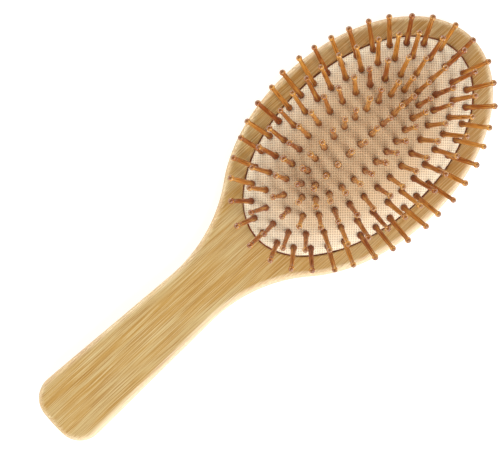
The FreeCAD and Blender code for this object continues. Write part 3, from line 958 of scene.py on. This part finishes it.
    def build(self) -> list[bpy.types.Object]:
        """Build one piece of pins for each body that carries pins."""
        self.find_seats()
        group, sockets = self.tree()
        material = self.finish.make()
        made = []
        for seed, (name, seats) in enumerate(sorted(self.seats.items())):
            mesh = bpy.data.meshes.new(name)
            mesh.from_pydata([Vector(seat.foot) * MM for seat in seats], [], [])
            aims = np.array([seat.aim for seat in seats])
            aimed = mesh.attributes.new("aim", "FLOAT_VECTOR", "POINT")
            aimed.data.foreach_set("vector", aims.ravel())
            piece = add_object(f"{name}_turned", mesh)
            modifier = piece.modifiers.new("turned_pins", "NODES")
            modifier.node_group = group
            modifier[sockets["Seed"]] = seed * 10
            modifier[sockets["Material"]] = material
            apply_modifiers(piece)
            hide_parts(name)
            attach(piece, name)
            made.append(piece)
        return made


# ---------------------------------------------------------------------------------------------
# The cushion
# ---------------------------------------------------------------------------------------------


@dataclass
class Dome:
    """The cushion's upper surface: an oval dome that the pins pass through."""

    rise: float = 11.0
    fullness: float = 0.35
    middle: np.ndarray = field(default_factory=lambda: np.zeros(2))
    half: np.ndarray = field(default_factory=lambda: np.ones(2))
    edge_z: float = 0.0

    @classmethod
    def from_frame(cls) -> "Dome":
        """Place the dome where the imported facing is."""
        low, high = (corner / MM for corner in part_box("fabric_facing"))
        middle, half = (low + high) / 2, (high - low) / 2
        return cls(middle=np.array(middle[:2]), half=np.array(half[:2]), edge_z=high.z - cls.rise)

    def height(self, plan: np.ndarray) -> np.ndarray:
        """Return the height above the dome's edge at places given from its middle."""
        square = ((plan / self.half) ** 2).sum(axis=1)
        return self.rise * (1 - (1 - self.fullness) * square - self.fullness * square**2)

    def lift(self, plan: np.ndarray, drop: float = 0.0) -> np.ndarray:
        """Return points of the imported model's frame for places on the dome, lowered by drop."""
        return np.column_stack([plan + self.middle, self.edge_z + self.height(plan) - drop])


@dataclass
class PunchedSheet:
    """A sheet laid over the dome, with a round hole for each pin's neck."""

    dome: Dome
    seats: list[Seat]
    spacing: float
    hole_radius: float
    inset: float
    drop: float = 0.0
    hole_points: int = 10
    rim_points: int = 240

    def plan(self) -> tuple[np.ndarray, list[tuple[int, ...]], int, int]:
        """Lay out the sheet.

        Returns:
            The places, the triangles, and how many of the first places are on the rim and on holes.
        """
        reach = self.dome.half - self.inset
        rim = oval(*reach, self.rim_points)
        holes, links = [], []
        count = self.rim_points
        for seat in self.seats:
            side = np.cross(seat.aim, (0, 1, 0))
            side /= np.linalg.norm(side)
            other = np.cross(seat.aim, side)
            turn = np.arange(self.hole_points) * math.tau / self.hole_points
            circle = np.outer(np.cos(turn), side) + np.outer(np.sin(turn), other)
            foot = seat.foot - [*self.dome.middle, 0]
            holes.append((foot + circle * self.hole_radius)[:, :2])
            first = count + len(links)
            around = self.hole_points
            links += [(first + n, first + (n + 1) % around) for n in range(around)]
        fixed = np.vstack([rim, *holes])
        step = np.array([self.spacing, self.spacing * math.sqrt(3) / 2])
        size = np.ceil(reach / step).astype(int) + 1
        columns, rows = np.meshgrid(*(np.arange(-half, half + 1) for half in size))
        across = (columns + 0.5 * (rows % 2)).ravel() * step[0]
        grid = np.column_stack([across, rows.ravel() * step[1]])
        share = np.sqrt(((grid / (reach - self.spacing * 0.6)) ** 2).sum(axis=1))
        grid = grid[share < 1]
        feet = np.array([seat.foot[:2] - self.dome.middle for seat in self.seats])
        far = np.linalg.norm(grid[:, None] - feet[None], axis=2).min(axis=1)
        grid = grid[far > self.hole_radius + self.spacing * 0.45]
        places = np.vstack([fixed, grid])
        edges = [(n, (n + 1) % self.rim_points) for n in range(self.rim_points)] + links
        made = delaunay_2d_cdt([Vector(p) for p in places], edges, [], 0, 1e-6)
        spots = np.array([p[:] for p in made[0]])
        triangles = []
        for corners in made[2]:
            middle = spots[list(corners)].mean(axis=0)
            if np.linalg.norm(feet - middle, axis=1).min() > self.hole_radius * 0.8:
                a, b, c = (spots[n] for n in corners)
                turn = (b[0] - a[0]) * (c[1] - a[1]) - (b[1] - a[1]) * (c[0] - a[0])
                triangles.append(tuple(corners) if turn > 0 else tuple(corners[::-1]))
        return spots, triangles, self.rim_points, len(fixed)


@dataclass
class Facing:
    """The woven cloth: stretched over the dome, turned down at its edge, puffed between pins."""

    dome: Dome
    seats: list[Seat]
    finish: ClothFinish = ClothFinish()
    thickness: float = 0.35
    spacing: float = 1.15
    hole_radius: float = 1.0
    edge_inset: float = 0.42
    edge_wander: float = 0.1
    puff: float = 0.3
    weave_turn: float = 42.35
    turned_edge: tuple[tuple[float, float], ...] = (
        (0.08, 0.08), (0.12, 0.3), (0.08, 0.6), (0.0, 0.85)
    )
    pressure: float = 30.0
    cloth_frames: int = 20

    def wander(self, turn: np.ndarray) -> np.ndarray:
        """Return how far the trimmed edge strays outwards round the cushion."""
        waves = ((3, 0.4), (7, 1.9), (13, 4.1), (29, 2.2), (47, 5.0))
        return sum(np.sin(turn * n + start) for n, start in waves) * self.edge_wander / 2.2

    def build(self) -> bpy.types.Object:
        """Build the facing."""
        sheet = PunchedSheet(self.dome, self.seats, self.spacing, self.hole_radius, self.edge_inset)
        plan, faces, rim, fixed = sheet.plan()
        turn = np.arange(rim) * math.tau / rim
        out = np.column_stack([np.cos(turn), np.sin(turn)])
        plan[:rim] += out * self.wander(turn)[:, None]
        points = self.dome.lift(plan)
        held = list(range(fixed))
        inner = list(range(rim))
        for outward, down in self.turned_edge:
            low = np.column_stack([points[:rim, :2] + out * outward, points[:rim, 2] - down])
            outer = list(range(len(points), len(points) + rim))
            points = np.vstack([points, low])
            for n in range(rim):
                after = (n + 1) % rim
                faces.append((outer[n], outer[after], inner[after], inner[n]))
            inner = outer
            held += outer
        points = self.puffed(points, faces, held)
        mesh = bpy.data.meshes.new("fabric_facing_woven")
        mesh.from_pydata([Vector(p) * MM for p in points], [], faces)
        weave = mesh.attributes.new("weave", "FLOAT_VECTOR", "POINT")
        weave.data.foreach_set("vector", self.threads(points))
        # The crown is the height share over the dome; the cloth uses it as the mask of its painted
        # shade.
        crown = np.clip((points[:, 2] - self.dome.edge_z) / self.dome.rise, 0, 1)
        mesh.attributes.new("crown", "FLOAT", "POINT").data.foreach_set("value", crown)
        mesh.shade_smooth()
        piece = add_object("fabric_facing_woven", mesh, self.finish.make())
        smooth = piece.modifiers.new("smooth", "SUBSURF")
        smooth.levels = smooth.render_levels = 1
        wall = piece.modifiers.new("thickness", "SOLIDIFY")
        wall.thickness = self.thickness * MM
        wall.offset = -1
        apply_modifiers(piece)
        self.dress(piece)
        return piece

    def threads(self, points: np.ndarray) -> np.ndarray:
        """Return each point's place along the two sets of threads, in millimetres."""
        flat = points[:, :2] - self.dome.middle
        turn = math.radians(self.weave_turn)
        u = flat[:, 0] * math.cos(turn) - flat[:, 1] * math.sin(turn)
        v = flat[:, 0] * math.sin(turn) + flat[:, 1] * math.cos(turn)
        return np.column_stack([u, v, np.zeros(len(u))]).ravel()

    def puffed(self, points: np.ndarray, faces: list, held: list[int]) -> np.ndarray:
        """Let a cloth simulation push the facing out between the pins that hold it down.

        Args:
            points: The facing's points in millimetres.
            faces: Its faces.
            held: The points that stay where they are.

        Returns:
            The points after the simulation, none further out than the puff.
        """
        grow = 10 * MM
        mesh = bpy.data.meshes.new("facing_blank")
        mesh.from_pydata([Vector(p) * grow for p in points], [], faces)
        blank = add_object("facing_blank", mesh)
        group = blank.vertex_groups.new(name="held")
        group.add(held, 1.0, "REPLACE")
        cloth = blank.modifiers.new("cloth", "CLOTH")
        settings = cloth.settings
        settings.quality = 5
        settings.mass = 0.2
        settings.tension_stiffness = 20
        settings.compression_stiffness = 20
        settings.shear_stiffness = 10
        settings.bending_stiffness = 0.5
        settings.use_pressure = True
        settings.uniform_pressure_force = self.pressure
        settings.vertex_group_mass = "held"
        settings.effector_weights.gravity = 0
        cloth.collision_settings.use_collision = False
        scene = bpy.context.scene
        for step in range(1, self.cloth_frames + 1):
            scene.frame_set(step)
        result = blank.evaluated_get(bpy.context.evaluated_depsgraph_get()).to_mesh()
        moved = np.zeros(len(points) * 3)
        result.vertices.foreach_get("co", moved)
        moved = moved.reshape(-1, 3) / grow - points
        scene.frame_set(1)
        bpy.data.objects.remove(blank)
        far = np.linalg.norm(moved, axis=1)
        log.info("cloth simulation moved the facing by up to %.2f mm", far.max())
        usual = max(float(np.percentile(far, 98)), 1e-6)
        moved *= self.puff / usual
        far = np.linalg.norm(moved, axis=1, keepdims=True)
        return points + moved * np.minimum(1, self.puff * 1.2 / np.maximum(far, 1e-9))

    def dress(self, piece: bpy.types.Object) -> None:
        """Hide the imported facing, hang this one on the brush body and give it its own mesh."""
        half = self.dome.half * MM
        turn_in = 2 * max(down for _, down in self.turned_edge) * MM
        width, length = 2 * half[1] + turn_in, 2 * half[0] + turn_in
        area = math.pi / 4 * width * length
        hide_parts("fabric_facing")
        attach(piece, "brush_body")
        squash_with_pad(piece, self.dome)


def squash_with_pad(piece: bpy.types.Object, dome: Dome) -> None:
    """Read the pad_press joint's travel and give a piece of the dome its own copy of its mesh."""
    press = next(joint for joint in frame["joints"] if joint["name"] == "pad_press")
    keep = 1 - press["range_m"][1] / (dome.rise * MM)
    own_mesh(piece)


@dataclass
class Rubber:
    """The moulded cushion under the facing: a domed membrane, and a skirt with its snap-in lip."""

    dome: Dome
    seats: list[Seat]
    finish: RubberFinish = RubberFinish()
    film: float = 0.55
    thickness: float = 1.3
    spacing: float = 2.6
    hole_radius: float = 1.3
    lip_reach: float = 1.5
    lip_height: float = 1.5
    lip_low: float = -5.7
    ledge: float = -0.05
    ledge_depth: float = 0.9
    wall_gap: float = 0.06
    bead: float = 0.3
    points: int = 180

    def membrane(self, material: bpy.types.Material) -> bpy.types.Object:
        """Build the domed membrane."""
        inset = self.film + self.wall_gap
        sizes = (self.spacing, self.hole_radius, inset, self.film)
        sheet = PunchedSheet(self.dome, self.seats, *sizes, hole_points=8, rim_points=120)
        plan, faces, _, _ = sheet.plan()
        mesh = bpy.data.meshes.new("cushion_membrane")
        mesh.from_pydata([Vector(p) * MM for p in self.dome.lift(plan, self.film)], [], faces)
        mesh.shade_smooth()
        piece = add_object("cushion_membrane", mesh, material)
        wall = piece.modifiers.new("thickness", "SOLIDIFY")
        wall.thickness = self.thickness * MM
        wall.offset = -1
        apply_modifiers(piece)
        squash_with_pad(piece, self.dome)
        return piece

    def skirt(self, material: bpy.types.Material) -> bpy.types.Object:
        """Build the straight skirt, the ledge under the facing's edge and the lip."""
        inner = -self.film - self.thickness
        recess = Board.recess_gap
        profile = (
            (inner, self.lip_low),
            (self.lip_reach, self.lip_low),
            (self.lip_reach, self.lip_low + self.lip_height),
            (recess - self.wall_gap, self.lip_low + self.lip_height),
            (recess - self.wall_gap, self.ledge - 0.12),
            (recess - self.wall_gap - 0.1, self.ledge),
            (-self.bead, self.ledge),
            (-self.bead, self.ledge - self.ledge_depth),
            (-self.film, self.ledge - self.ledge_depth),
            (inner, self.ledge - self.ledge_depth),
        )
        shell = Shell()
        loops = []
        for margin, z in profile:
            plan = oval(*(self.dome.half + margin), self.points) + self.dome.middle
            loops.append(shell.loop(plan, self.dome.edge_z + z))
        shell.bands(loops, closed=True)
        return shell.piece("cushion_skirt", material)

    def build(self) -> list[bpy.types.Object]:
        """Build the membrane and the skirt."""
        material = self.finish.make()
        pieces = [self.membrane(material), self.skirt(material)]
        for piece in pieces:
            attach(piece, "brush_body")
        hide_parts("rubber_cushion")
        return pieces


# ---------------------------------------------------------------------------------------------
# Studio
# ---------------------------------------------------------------------------------------------


class Side(Enum):
    """Where a soft box hangs: the way to it from the brush, and its strength in watts."""

    LEFT = ((0.1, 0.8, 0.6), 1.5)
    RIGHT = ((-0.1, -0.6, 0.8), 5.0)


@dataclass
class Studio:
    """White floor, soft light brighter near the floor, and a camera straight above.

    low_shine is the low light's strength in reflections, and low_light its strength elsewhere.
    """

    floor_finish: FloorFinish = FloorFinish()
    floor_size: float = 4000.0
    low_light: float = 1.3
    low_shine: float = 13.0
    high_light: float = 1.15
    top_light: float = 0.05
    end_share: float = 0.55
    tint: Colour = (1.0, 0.96, 0.89, 1.0)
    box_distance: float = 900.0
    box_size: float = 450.0
    camera_height: float = 529.0
    camera_aside: tuple[float, float] = (-3.3, 5.0)
    camera_turn: float = -42.35
    lens: float = 88.9

    def build(self) -> None:
        """Build the floor, the light and the camera."""
        scene = bpy.context.scene
        scene.view_settings.view_transform = "Standard"
        shell = Shell()
        shell.fill(shell.loop(oval(self.floor_size / 2, self.floor_size / 2, 64), -0.05))
        shell.piece("floor", self.floor_finish.make())
        self.light_world(scene)
        for side in Side:
            self.hang_box(side)
        camera = bpy.data.cameras.new("camera")
        camera.lens = self.lens
        holder = bpy.data.objects.new("camera", camera)
        holder.location = Vector((*self.camera_aside, self.camera_height)) * MM
        holder.rotation_euler = (0, 0, math.radians(self.camera_turn))
        scene.collection.objects.link(holder)
        scene.camera = holder

    def light_world(self, scene: bpy.types.Scene) -> None:
        """Surround the brush with light that falls off overhead and is stronger in reflections."""
        world = bpy.data.worlds.new("studio")
        world.use_nodes = True
        scene.world = world
        tree = Tree(world.node_tree)
        along, across, up = tree.split(tree.wire("ShaderNodeTexCoord", {}, {}, "Generated"))
        level = along * along + across * across + 1e-4
        side = tree.pick(across * across / level, self.end_share, 1.0)
        low = (1 - up.rise(0.08, 0.4)) * side
        overhead = tree.pick(up.rise(0.72, 0.9), self.high_light, self.top_light)
        shine = tree.wire("ShaderNodeLightPath", {}, {}, "Is Glossy Ray")
        strength = tree.pick(low, overhead, tree.pick(shine, self.low_light, self.low_shine))
        light = tree.wire("ShaderNodeBackground", {}, {"Color": self.tint, "Strength": strength})
        tree.node("ShaderNodeOutputWorld", {}, {"Surface": light})

    def hang_box(self, side: Side) -> None:
        """Hang one soft box and point it at the brush."""
        way, power = side.value
        light = bpy.data.lights.new(side.name.lower(), "AREA")
        light.energy = power
        light.size = self.box_size * MM
        holder = bpy.data.objects.new(side.name.lower(), light)
        direction = Vector(way).normalized()
        holder.location = direction * self.box_distance * MM
        holder.rotation_euler = direction.to_track_quat("Z", "Y").to_euler()
        bpy.context.scene.collection.objects.link(holder)


def main() -> None:
    """Build the brush and its studio."""
    logging.basicConfig(level=logging.INFO, format="%(message)s")
    Studio().build()
    pins = Pins()
    pieces = [Board().build(), *pins.build()]
    seats = [seat for group in pins.seats.values() for seat in group]
    dome = Dome.from_frame()
    pieces += Rubber(dome, seats).build()
    pieces.append(Facing(dome, seats).build())
    for piece in pieces:
        log.info("%s: %d faces", piece.name, len(piece.data.polygons))


if __name__ == "__main__":
    main()
